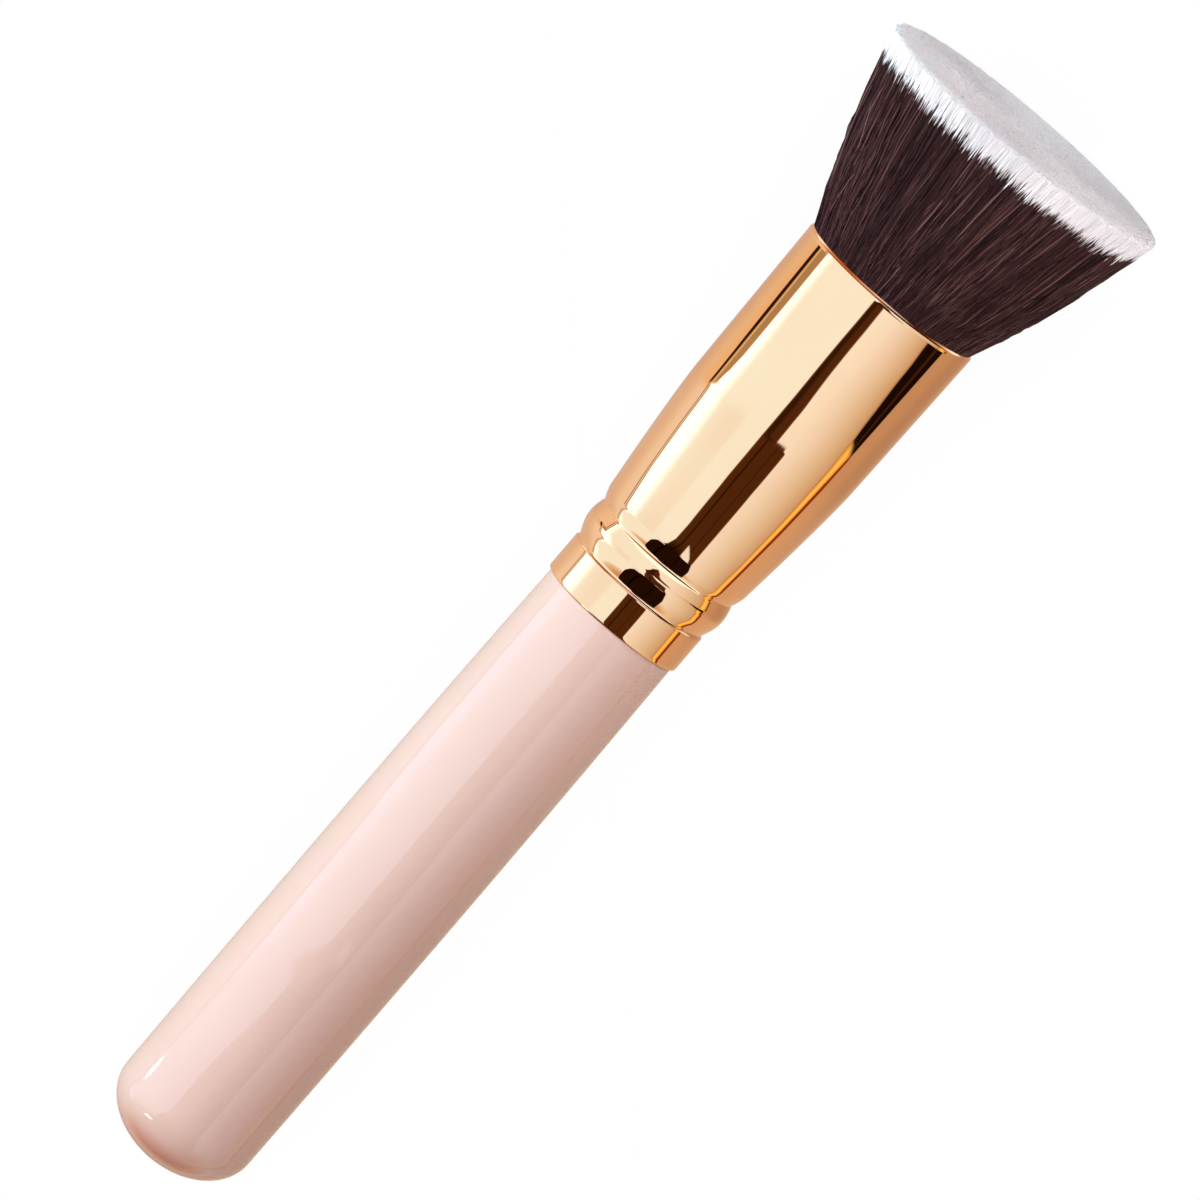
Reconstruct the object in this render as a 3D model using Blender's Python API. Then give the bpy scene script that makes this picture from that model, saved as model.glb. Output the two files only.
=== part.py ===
"""A flat-top makeup brush with a lacquered handle, a spun metal ferrule and a two-tone bristle tuft.

Each piece is made upright about its own Z axis, which is the brush's axis, and is seated on the others
by its place along that axis, from the rounded end of the handle to the trimmed face of the bristles.
The whole brush is then laid on its side, with its bristles toward +X, so that it rests on the rim of the
bristles and on the end of the handle, as it would on a table. Metres, +Z up.
"""

import math
import random

import bmesh
import bpy
from mathutils import Matrix, Vector
from mathutils.geometry import delaunay_2d_cdt

# Fits
CLEARANCE = 0.0003           # room between two pieces that touch

# Handle, from its rounded end to the edge of the ferrule
HANDLE_LENGTH = 0.0818
END_DOME_LENGTH = 0.0067
END_RADIUS = 0.00906
BELLY_RADIUS = 0.00917
BELLY_STATION = 0.042        # from the rounded end to the thickest place
NECK_RADIUS = 0.00889
NECK_ROUND = 0.0004
TENON_LENGTH = 0.022
TENON_CHAMFER = 0.0006
GLUE_GROOVE_DEPTH = 0.0006
GLUE_GROOVE_WIDTH = 0.0017
GLUE_GROOVE_PITCH = 0.0036
GLUE_GROOVES = 2

# Ferrule, from its collar to its mouth
FERRULE_WALL = 0.00045
COLLAR_RADIUS = 0.0093
COLLAR_LENGTH = 0.0051
COLLAR_ROUND = 0.00012
CRIMP_WIDTH = 0.0006
LOWER_CRIMP_RADIUS = 0.00904
BEAD_RADIUS = 0.00983
BEAD_LENGTH = 0.0048
UPPER_CRIMP_RADIUS = 0.00948
FOOT_RADIUS = 0.00982
FLARE_LENGTH = 0.0186
SHOULDER_RADIUS = 0.0115
BARREL_LENGTH = 0.021
MOUTH_RADIUS = 0.01188

# What holds the bristles inside the ferrule
ADHESIVE_LENGTH = 0.0098
RESIN_THICKNESS = 0.0094
RESIN_DISH = 0.0012
THREAD_DIAMETER = 0.0005
THREAD_PITCH = 0.001
THREAD_TURNS = 4

# Bristles
BRISTLE_LENGTH = 0.0237      # from the ferrule's mouth to the trimmed face
FACE_RADIUS = 0.0196
FACE_ROUND = 0.0008
ROOT_RECESS = 0.0003         # how far the packed root stays below the mouth
ROOT_ROUND = 0.0008
PALE_LENGTH = 0.0034
PALE_SPREAD = 0.0007
STRAND_SWAY = 0.00006
STRAND_INSET = 0.0001        # from the root's edge to the outer strands
PRESSED_DEPTH = 0.0005       # how far the bristles give way where they lie on the table
STRAND_ROWS = 10

# Counts and shares that give the curves their form
SIDES = 40
STRAND_SIDES = 3
THREAD_POINTS = 24
END_DOME_STEPS = 7
LIP_STEPS = 4
FLARE_STEPS = 6
FLARE_BOW = 1.55             # how early the flare opens, where 1 is a straight cone
SPLAY_BOW = 0.79             # the same for the bristles
SPLAY_SHARE = 0.24           # where a strand bends out, along its free length
STRAND_FILL_SHARE = 0.56     # half-width of a strand, of the step from row to row
ROW_GROWTH = 5.45            # strands that each row has more than the one inside it
BODY_SHARES = (0.35, 0.7, 1.0)
NECK_SHARES = (0.25, 0.5, 0.75, 1.0)
BEAD_SHARES = (0.08, 0.22, 0.38, 0.54, 0.7, 0.86, 0.95)
BEAD_BORE_SHARES = (0.2, 0.54, 0.86)
SEED = 7
MERGE_DISTANCE = 0.000001

# Places along the ferrule, from its lower edge
LOWER_CRIMP = COLLAR_LENGTH
UPPER_CRIMP = LOWER_CRIMP + BEAD_LENGTH
SHOULDER = UPPER_CRIMP + FLARE_LENGTH
MOUTH = SHOULDER + BARREL_LENGTH
TENON_END = TENON_LENGTH - CLEARANCE
RESIN_START = TENON_END + CLEARANCE
ROOT_START = RESIN_START + RESIN_THICKNESS + CLEARANCE
ROOT_TOP = MOUTH - ROOT_RECESS


def clear_scene():
    for item in list(bpy.data.objects):
        bpy.data.objects.remove(item, do_unlink=True)


def finish(name, colour, roughness, metallic=0.0, coat=0.0):
    material = bpy.data.materials.new(name)
    material.use_nodes = True
    shader = material.node_tree.nodes["Principled BSDF"]
    shader.inputs["Base Color"].default_value = (*colour, 1.0)
    shader.inputs["Roughness"].default_value = roughness
    shader.inputs["Metallic"].default_value = metallic
    shader.inputs["Coat Weight"].default_value = coat
    material.diffuse_color = (*colour, 1.0)
    return material


def add_object(name, data, seat, brush, *finishes):
    """Puts a piece on the brush's axis, its own zero at the seat."""
    piece = bpy.data.objects.new(name, data)
    bpy.context.scene.collection.objects.link(piece)
    for material in finishes:
        data.materials.append(material)
    piece.parent = brush
    piece.location = (0, 0, seat)
    return piece


def arc(centre_radius, centre_height, radius, height, start, end, steps):
    """Points of an elliptic arc, in degrees, 0 pointing outward and 90 up the axis."""
    angles = [math.radians(start + (end - start) * step / steps) for step in range(steps + 1)]
    return [(centre_radius + radius * math.cos(a), centre_height + height * math.sin(a)) for a in angles]


def turned_mesh(name, outline, closed=False):
    """Spins an outline of (radius, height) points about the axis into one smooth closed body."""
    shape = bmesh.new()
    points = [shape.verts.new((radius, 0, height)) for radius, height in outline]
    follow = points[1:] + points[:1] if closed else points[1:]
    edges = [shape.edges.new(pair) for pair in zip(points, follow)]
    bmesh.ops.spin(shape, geom=points + edges, axis=(0, 0, 1), cent=(0, 0, 0),
                   angle=math.tau, steps=SIDES, use_merge=True)
    bmesh.ops.remove_doubles(shape, verts=shape.verts, dist=MERGE_DISTANCE)
    bmesh.ops.recalc_face_normals(shape, faces=shape.faces)
    mesh = bpy.data.meshes.new(name)
    shape.to_mesh(mesh)
    shape.free()
    mesh.shade_smooth()
    mesh.set_sharp_from_angle(angle=math.radians(35))
    return mesh


def bead_radius(share):
    """Radius between the crimps, as one full round rib."""
    base = LOWER_CRIMP_RADIUS + (UPPER_CRIMP_RADIUS - LOWER_CRIMP_RADIUS) * share
    crown = BEAD_RADIUS - (LOWER_CRIMP_RADIUS + UPPER_CRIMP_RADIUS) / 2
    return base + crown * math.sin(math.pi * share)


def flare_radius(share):
    """Radius from the foot above the upper crimp to the shoulder, opening early."""
    return FOOT_RADIUS + (SHOULDER_RADIUS - FOOT_RADIUS) * (1 - (1 - share) ** FLARE_BOW)


def bore_radius(height):
    """Inside radius of the ferrule above its upper crimp."""
    if height <= SHOULDER:
        outside = flare_radius(max(0, (height - UPPER_CRIMP) / FLARE_LENGTH))
    else:
        rise = (height - SHOULDER) / BARREL_LENGTH
        outside = SHOULDER_RADIUS + (MOUTH_RADIUS - SHOULDER_RADIUS) * rise
    return outside - FERRULE_WALL


def fitted_radius(height):
    """Outside radius of a piece that fills the ferrule at a height."""
    return bore_radius(height) - CLEARANCE


def tenon_radius():
    """The tenon just passes the lower crimp."""
    return LOWER_CRIMP_RADIUS - FERRULE_WALL - CLEARANCE


def groove_places():
    """Middle of each glue groove, along the ferrule."""
    last = TENON_END - GLUE_GROOVE_PITCH
    return [last - GLUE_GROOVE_PITCH * (GLUE_GROOVES - 1 - number) for number in range(GLUE_GROOVES)]


def grooved_side(radius, floor, half_width):
    """Side of the tenon past its glue grooves, or of what fills them, from low to high."""
    points = []
    for place in groove_places():
        points += [(radius, place - half_width), (floor, place - half_width),
                   (floor, place + half_width), (radius, place + half_width)]
    return points


def handle_mesh():
    """Rounded end, slim belly and neck, then the tenon that hides in the ferrule."""
    outline = arc(0, END_DOME_LENGTH, END_RADIUS, END_DOME_LENGTH, -90, 0, END_DOME_STEPS)
    outline[0] = (0, 0)
    rear = BELLY_STATION - END_DOME_LENGTH
    for share in BODY_SHARES:
        radius = BELLY_RADIUS - (BELLY_RADIUS - END_RADIUS) * (1 - share) ** 2
        outline.append((radius, END_DOME_LENGTH + rear * share))
    edge = HANDLE_LENGTH - CLEARANCE
    front = edge - NECK_ROUND - BELLY_STATION
    for share in NECK_SHARES:
        radius = BELLY_RADIUS - (BELLY_RADIUS - NECK_RADIUS) * share ** 2
        outline.append((radius, BELLY_STATION + front * share))
    outline += arc(NECK_RADIUS - NECK_ROUND, edge - NECK_ROUND, NECK_ROUND, NECK_ROUND, 0, 90, 2)[1:]
    tenon = tenon_radius()
    outline.append((tenon, edge))
    side = grooved_side(tenon, tenon - GLUE_GROOVE_DEPTH, GLUE_GROOVE_WIDTH / 2)
    outline += [(radius, HANDLE_LENGTH + height) for radius, height in side]
    end = HANDLE_LENGTH + TENON_END
    outline += [(tenon, end - TENON_CHAMFER), (tenon - TENON_CHAMFER, end), (0, end)]
    return turned_mesh("handle", outline)


def ferrule_mesh():
    """Spun shell of even wall: collar, crimp, bead, crimp, flared foot, barrel and rounded lip."""
    lip = FERRULE_WALL / 2
    collar_top = LOWER_CRIMP - CRIMP_WIDTH / 2
    foot = UPPER_CRIMP + CRIMP_WIDTH / 2
    outline = arc(COLLAR_RADIUS - lip, lip, lip, lip, -180, 0, LIP_STEPS)
    outline += arc(COLLAR_RADIUS - COLLAR_ROUND, collar_top - COLLAR_ROUND,
                   COLLAR_ROUND, COLLAR_ROUND, 0, 90, 2)
    outline.append((LOWER_CRIMP_RADIUS, LOWER_CRIMP))
    outline += [(bead_radius(share), LOWER_CRIMP + BEAD_LENGTH * share) for share in BEAD_SHARES]
    outline.append((UPPER_CRIMP_RADIUS, UPPER_CRIMP))
    heights = [foot + (SHOULDER - foot) * step / FLARE_STEPS for step in range(FLARE_STEPS + 1)]
    outline += [(bore_radius(height) + FERRULE_WALL, height) for height in heights]
    outline += arc(MOUTH_RADIUS - lip, MOUTH - lip, lip, lip, 0, 180, LIP_STEPS)
    outline += [(bore_radius(height), height) for height in reversed(heights)]
    outline.append((UPPER_CRIMP_RADIUS - FERRULE_WALL, UPPER_CRIMP))
    for share in reversed(BEAD_BORE_SHARES):
        outline.append((bead_radius(share) - FERRULE_WALL, LOWER_CRIMP + BEAD_LENGTH * share))
    outline.append((LOWER_CRIMP_RADIUS - FERRULE_WALL, LOWER_CRIMP))
    outline.append((COLLAR_RADIUS - FERRULE_WALL, collar_top - FERRULE_WALL))
    return turned_mesh("ferrule", outline, closed=True)


def adhesive_mesh():
    """Tapered ring of glue between the tenon and the flare, keyed into the tenon's grooves."""
    bore = tenon_radius() + CLEARANCE
    low = TENON_END - ADHESIVE_LENGTH
    middle = (low + TENON_END) / 2
    outline = [(fitted_radius(low), low), (fitted_radius(middle), middle),
               (fitted_radius(TENON_END), TENON_END), (bore, TENON_END)]
    keys = grooved_side(bore, bore - GLUE_GROOVE_DEPTH, GLUE_GROOVE_WIDTH / 2 - CLEARANCE)
    outline += reversed(keys)
    outline.append((bore, low))
    return turned_mesh("tenon_adhesive", outline, closed=True)


def resin_mesh():
    """Cast plug that fills the ferrule, with a dish where the root of the tuft sits."""
    top = RESIN_START + RESIN_THICKNESS
    dish = neck_radius() - ROOT_ROUND
    outline = [(0, RESIN_START), (fitted_radius(RESIN_START), RESIN_START),
               (fitted_radius((RESIN_START + top) / 2), (RESIN_START + top) / 2),
               (fitted_radius(top), top), (dish, top), (0, top - RESIN_DISH)]
    return turned_mesh("resin_plug", outline)


def neck_radius():
    """The root is drawn in by the thread's thickness where it is bound."""
    return fitted_radius(ROOT_START) - THREAD_DIAMETER - CLEARANCE


def neck_length():
    return THREAD_PITCH * THREAD_TURNS + 2 * THREAD_DIAMETER + 2 * CLEARANCE


def thread_curve():
    """One unbroken thread wound round the neck, its two ends running off straight."""
    radius = neck_radius() + CLEARANCE + THREAD_DIAMETER / 2
    start = ROOT_START + CLEARANCE + THREAD_DIAMETER
    points = []
    for step in range(THREAD_TURNS * THREAD_POINTS + 1):
        turn = step / THREAD_POINTS
        angle = math.tau * turn
        points.append(Vector((radius * math.cos(angle), radius * math.sin(angle),
                              start + THREAD_PITCH * turn)))
    points.insert(0, points[0] + (points[0] - points[1]).normalized() * THREAD_DIAMETER)
    points.append(points[-1] + (points[-1] - points[-2]).normalized() * THREAD_DIAMETER)
    apart = min((p - q).length for i, p in enumerate(points) for q in points[i + THREAD_POINTS // 2:])
    print(f"least gap between the thread's turns: {apart - THREAD_DIAMETER:.5f} m")

    curve = bpy.data.curves.new("tuft_binding", "CURVE")
    curve.dimensions = "3D"
    curve.bevel_depth = THREAD_DIAMETER / 2
    curve.bevel_resolution = 1
    curve.use_fill_caps = True
    spline = curve.splines.new("POLY")
    spline.points.add(len(points) - 1)
    for point, place in zip(spline.points, points):
        point.co = (*place, 1)
    return curve


def splay_radius(share):
    """Outside radius of the tuft along its free length, springing out at the mouth."""
    root = fitted_radius(MOUTH) * math.cos(math.pi / SIDES) - STRAND_INSET
    return root + (FACE_RADIUS - root) * share ** SPLAY_BOW


def strand_places():
    """Share of the tuft's reach and angle of each strand, row round row, one of the last pointing down."""
    places = [(0, 0)]
    golden_turn = math.pi * (3 - math.sqrt(5))
    for row in range(1, STRAND_ROWS + 1):
        count = round(ROW_GROWTH * row)
        phase = math.pi + golden_turn * (STRAND_ROWS - row)
        places += [(row / STRAND_ROWS, phase + math.tau * number / count) for number in range(count)]
    return places


def strand_sections():
    """The corners of each strand at its root, its bend, its colour line and its trimmed tip."""
    chance = random.Random(SEED)
    free = BRISTLE_LENGTH + ROOT_RECESS
    strands = []
    for place_share, angle in strand_places():
        sway = chance.uniform(-STRAND_SWAY, STRAND_SWAY)
        pale = PALE_LENGTH + chance.uniform(-PALE_SPREAD, PALE_SPREAD)
        drop = FACE_ROUND * (1 - math.sqrt(1 - max(0, 1 - (1 - place_share) * FACE_RADIUS / FACE_ROUND) ** 2))
        heights = (0, free * SPLAY_SHARE, free - pale, free - drop)
        out = Vector((math.cos(angle), math.sin(angle), 0))
        side = Vector((-out.y, out.x, 0))
        sections = []
        for height, aside in zip(heights, (0, sway, -sway, 0)):
            reach = splay_radius(height / free) / (1 + STRAND_FILL_SHARE / STRAND_ROWS)
            half_width = STRAND_FILL_SHARE * reach / STRAND_ROWS
            centre = out * reach * place_share + side * aside + Vector((0, 0, ROOT_TOP + height))
            turns = [math.tau * corner / STRAND_SIDES for corner in range(STRAND_SIDES)]
            sections.append([centre + (out * math.cos(turn) + side * math.sin(turn)) * half_width
                             for turn in turns])
        strands.append(sections)
    return strands


def root_top_faces(points, loops):
    """Fills the top of the root between its rim and the strands that grow out of it."""
    flat = [Vector(point[:2]) for point in points]
    _, _, faces, original, _, owners = delaunay_2d_cdt(flat, [], loops, 0, MERGE_DISTANCE)
    return [[original[index][0] for index in face] for face, owner in zip(faces, owners) if not owner]


def tuft_mesh():
    """All strands, grown out of the packed root that fills the mouth of the ferrule."""
    neck = neck_radius()
    waist = ROOT_START + neck_length()
    body = waist + THREAD_DIAMETER
    rim_radius = fitted_radius(MOUTH)
    profile = [(neck - ROOT_ROUND, ROOT_START), (neck, ROOT_START + ROOT_ROUND), (neck, waist),
               (fitted_radius(body), body), (rim_radius, ROOT_TOP)]
    points = []
    for radius, height in profile:
        for side in range(SIDES):
            angle = math.tau * side / SIDES
            points.append((radius * math.cos(angle), radius * math.sin(angle), height))
    faces = [list(range(SIDES))[::-1]]
    for low in range(0, SIDES * (len(profile) - 1), SIDES):
        for side in range(SIDES):
            after = (side + 1) % SIDES
            faces.append([low + side, low + after, low + SIDES + after, low + SIDES + side])
    brown_faces = len(faces)

    rim = list(range(len(points) - SIDES, len(points)))
    bases = []
    pale_faces = []
    for sections in strand_sections():
        first = len(points)
        bases.append(list(range(first, first + STRAND_SIDES)))
        for corners in sections:
            points += [tuple(corner) for corner in corners]
        for level in range(len(sections) - 1):
            row = first + level * STRAND_SIDES
            last = level == len(sections) - 2
            for corner in range(STRAND_SIDES):
                after = (corner + 1) % STRAND_SIDES
                wall = [row + corner, row + after, row + STRAND_SIDES + after, row + STRAND_SIDES + corner]
                (pale_faces if last else faces).append(wall)
        tip = first + (len(sections) - 1) * STRAND_SIDES
        pale_faces.append(list(range(tip, tip + STRAND_SIDES)))

    level_points = [points[index] for index in rim] + [points[index] for base in bases for index in base]
    names = rim + [index for base in bases for index in base]
    loops = [[SIDES + STRAND_SIDES * number + corner for corner in range(STRAND_SIDES)]
             for number in range(len(bases))]
    for face in root_top_faces(level_points, loops):
        faces.append([names[index] for index in face])

    mesh = bpy.data.meshes.new("bristle_tuft")
    mesh.from_pydata(points, [], faces + pale_faces)
    for polygon in mesh.polygons[len(faces):]:
        polygon.material_index = 1
    for polygon in mesh.polygons[:brown_faces]:
        polygon.use_smooth = True
    mesh.set_sharp_from_angle(angle=math.radians(35))
    return mesh


def lowest(points, tilt):
    """Lowest height of points, once the brush is turned on its side and its tip raised by the tilt."""
    return min(point.z * math.sin(tilt) + point.x * math.cos(tilt) for point in points)


def lay_on_table(brush, handle, tuft):
    """Lays the brush on its side, the bristles pressed flat where they take its weight."""
    ends = [[piece.location + vertex.co for vertex in piece.data.vertices] for piece in (handle, tuft)]
    low, high = 0, math.radians(30)
    for _ in range(48):
        tilt = (low + high) / 2
        if lowest(ends[0], tilt) > lowest(ends[1], tilt) + PRESSED_DEPTH:
            low = tilt
        else:
            high = tilt
    floor = lowest(ends[0], tilt)
    for vertex in tuft.data.vertices:
        place = tuft.location + vertex.co
        table = (floor - place.z * math.sin(tilt)) / math.cos(tilt)
        vertex.co.x = max(vertex.co.x, table)
    turn = Matrix(((0, 0, 1), (0, -1, 0), (1, 0, 0))).to_4x4()
    brush.matrix_world = Matrix.Rotation(-tilt, 4, "Y") @ turn


def centre_on_origin(brush):
    """Moves the brush so that the middle of its box's underside is the origin."""
    bpy.context.view_layer.update()
    places = [piece.matrix_world @ vertex.co for piece in brush.children if piece.type == "MESH"
              for vertex in piece.data.vertices]
    least = Vector(min(place[axis] for place in places) for axis in range(3))
    most = Vector(max(place[axis] for place in places) for axis in range(3))
    middle = (least + most) / 2
    brush.location -= Vector((middle.x, middle.y, least.z))


def main():
    clear_scene()
    lacquer = finish("pink_lacquer", (0.83, 0.62, 0.56), 0.14, coat=1.0)
    rose_gold = finish("rose_gold", (0.93, 0.6, 0.38), 0.06, metallic=1.0)
    brown = finish("brown_bristle", (0.05, 0.026, 0.026), 0.45)
    pale = finish("pale_bristle", (0.78, 0.75, 0.8), 0.6)
    thread = finish("binding_thread", (0.7, 0.66, 0.6), 0.8)
    resin = finish("cast_resin", (0.62, 0.52, 0.32), 0.3)
    glue = finish("set_glue", (0.7, 0.68, 0.6), 0.4)

    brush = bpy.data.objects.new("brush", None)
    bpy.context.scene.collection.objects.link(brush)
    handle = add_object("handle", handle_mesh(), 0, brush, lacquer)
    add_object("ferrule", ferrule_mesh(), HANDLE_LENGTH, brush, rose_gold)
    add_object("tenon_adhesive", adhesive_mesh(), HANDLE_LENGTH, brush, glue)
    add_object("resin_plug", resin_mesh(), HANDLE_LENGTH, brush, resin)
    tuft = add_object("bristle_tuft", tuft_mesh(), HANDLE_LENGTH, brush, brown, pale)
    add_object("tuft_binding", thread_curve(), HANDLE_LENGTH, brush, thread)

    lay_on_table(brush, handle, tuft)
    centre_on_origin(brush)


main()
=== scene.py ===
import math
import bpy
import bmesh
import numpy as np
from mathutils import Matrix, Vector


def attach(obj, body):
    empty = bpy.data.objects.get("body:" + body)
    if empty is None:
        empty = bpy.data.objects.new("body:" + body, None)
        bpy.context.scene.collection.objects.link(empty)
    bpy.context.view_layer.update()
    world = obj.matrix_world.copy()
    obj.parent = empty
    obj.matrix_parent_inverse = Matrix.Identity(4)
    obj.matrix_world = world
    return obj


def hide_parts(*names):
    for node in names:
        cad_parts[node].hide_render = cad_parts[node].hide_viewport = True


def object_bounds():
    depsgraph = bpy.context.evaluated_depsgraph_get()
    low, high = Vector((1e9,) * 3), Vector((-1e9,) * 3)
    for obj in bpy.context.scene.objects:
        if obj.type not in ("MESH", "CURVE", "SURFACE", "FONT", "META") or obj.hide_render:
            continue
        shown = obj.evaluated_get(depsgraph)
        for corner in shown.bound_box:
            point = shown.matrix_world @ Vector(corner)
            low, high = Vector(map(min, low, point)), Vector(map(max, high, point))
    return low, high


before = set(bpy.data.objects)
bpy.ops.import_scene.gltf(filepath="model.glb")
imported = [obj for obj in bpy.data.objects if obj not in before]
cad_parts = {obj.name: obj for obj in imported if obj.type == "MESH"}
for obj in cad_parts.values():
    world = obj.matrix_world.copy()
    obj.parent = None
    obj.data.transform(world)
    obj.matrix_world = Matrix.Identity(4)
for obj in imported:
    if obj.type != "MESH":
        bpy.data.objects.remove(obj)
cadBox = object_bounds()
print("frame in, box", [round(v * 1000, 2) for corner in cadBox for v in corner], "mm")

# the brush lies on its side: lean of its axis, where its handle's end sits, and where patterns are centred
laid = {"lean": 3.80566, "endX": -0.0779176, "endZ": 0.0085953, "patternZ": 0.0137}
lean = math.radians(laid["lean"])
layDown = Matrix((
    (-math.sin(lean), 0, math.cos(lean), laid["endX"]),
    (0, -1, 0, 0),
    (math.cos(lean), 0, math.sin(lean), laid["endZ"]),
    (0, 0, 0, 1)))
alongBrush = Vector((math.cos(lean), 0, math.sin(lean)))
overBrush = Vector((-math.sin(lean), 0, math.cos(lean)))

view = {
    "tipTilt": 8.4,        # degrees that the tip leans toward the camera
    "turn": 40.59,         # degrees clockwise that the brush points from straight up
    "width": 0.13644,      # what the frame spans at the brush
    "lens": 1000,          # long, for the brush shows next to no perspective
    "sensor": 36,
    "clip": (0.05, 30),
    "midAlong": 0.08244,   # the brush's point in the middle of the frame
    "midAside": 0.002343,
}


def placeCamera():
    tilt = math.radians(view["tipTilt"])
    toCamera = overBrush * math.cos(tilt) + alongBrush * math.sin(tilt)
    brushUp = alongBrush * math.cos(tilt) - overBrush * math.sin(tilt)
    brushRight = brushUp.cross(toCamera)
    turn = math.radians(view["turn"])
    right = brushUp * math.sin(turn) + brushRight * math.cos(turn)
    up = brushUp * math.cos(turn) - brushRight * math.sin(turn)
    middle = Vector((laid["endX"], 0, laid["endZ"])) + alongBrush * view["midAlong"]
    middle -= brushRight * view["midAside"]
    data = bpy.data.cameras.new("productCamera")
    data.lens = view["lens"]
    data.sensor_width = view["sensor"]
    data.clip_start, data.clip_end = view["clip"]
    away = view["lens"] / 1000 * view["width"] / (view["sensor"] / 1000)
    camera = bpy.data.objects.new("productCamera", data)
    bpy.context.scene.collection.objects.link(camera)
    camera.matrix_world = Matrix.Translation(middle + toCamera * away) @ Matrix(
        (right, up, toCamera)).transposed().to_4x4()
    bpy.context.scene.camera = camera


placeCamera()
print("camera in place")


def newMaterial(name):
    material = bpy.data.materials.new(name)
    material.use_nodes = True
    material.node_tree.nodes.clear()
    return material, material.node_tree


def feed(tree, socket, value):
    # a number or vector is set on the socket, anything else is linked to it
    if isinstance(value, bpy.types.NodeSocket):
        tree.links.new(value, socket)
    else:
        socket.default_value = value


def put(tree, kind, inputs={}, **settings):
    node = tree.nodes.new(kind)
    for key, value in settings.items():
        setattr(node, key, value)
    for key, value in inputs.items():
        feed(tree, node.inputs[key], value)
    return node


def calc(tree, operation, *values):
    return put(tree, "ShaderNodeMath", dict(enumerate(values)), operation=operation).outputs[0]


def vecCalc(tree, operation, *values):
    node = put(tree, "ShaderNodeVectorMath", dict(enumerate(values)), operation=operation)
    return node.outputs["Value"] if operation == "LENGTH" else node.outputs[0]


def partsOf(tree, vector):
    return put(tree, "ShaderNodeSeparateXYZ", {0: vector}).outputs


def rampOf(tree, value, stops):
    ramp = put(tree, "ShaderNodeValToRGB", {0: value})
    elements = ramp.color_ramp.elements
    while len(elements) < len(stops):
        elements.new(0.5)
    for element, (place, colour) in zip(elements, stops):
        element.position = place
        element.color = (*colour, 1)
    return ramp.outputs[0]


def rescale(tree, *numbers):
    # a value, its low and high, and what those two turn into
    return put(tree, "ShaderNodeMapRange", dict(enumerate(numbers))).outputs[0]


def mixColours(tree, share, first, second, **settings):
    node = put(tree, "ShaderNodeMix", {0: share, 6: first, 7: second}, data_type="RGBA", **settings)
    return node.outputs[2]


def noiseOf(tree, vector, scale, detail=2.0, roughness=0.5):
    node = put(tree, "ShaderNodeTexNoise", {
        "Vector": vector, "Scale": scale, "Detail": detail, "Roughness": roughness})
    return node.outputs["Fac"]


def brushCoords(tree, stretch=(1, 1, 1)):
    # object coordinates turned so that X runs along the brush's axis
    place = put(tree, "ShaderNodeTexCoord")
    turned = put(tree, "ShaderNodeMapping", {
        "Vector": place.outputs["Object"], "Rotation": (0, lean, 0),
        "Location": (0, 0, -laid["patternZ"]), "Scale": stretch}, vector_type="POINT")
    return turned.outputs[0]


def mainShader(tree, inputs):
    shader = put(tree, "ShaderNodeBsdfPrincipled", inputs)
    put(tree, "ShaderNodeOutputMaterial", {"Surface": shader.outputs[0]})


def bumpFrom(tree, height, strength, distance):
    return put(tree, "ShaderNodeBump", {
        "Height": height, "Strength": strength, "Distance": distance}).outputs[0]


studio = {
    "floorSize": 40.0,
    "floorShadeReach": 0.03,
    "fill": 0.02,          # strength of the world's own light
    "tentRadius": 0.3,
    "tentLength": 0.62,    # to each side
    "capDepth": 0.12,      # how far the tent's ends stand past its last ring
    "cardSwing": 2.9,      # degrees that the cards are swung toward the tip, to suit the camera's tilt
    "cardShift": (0.03, -0.00035),
    "lampGlow": 16,
    "boardOuter": 96.3,    # degrees round the brush where the black board ends
    "tentTurns": 720,
    "aimHeight": 0.014,    # of the point over the table that the lights are set out from
}

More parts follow.
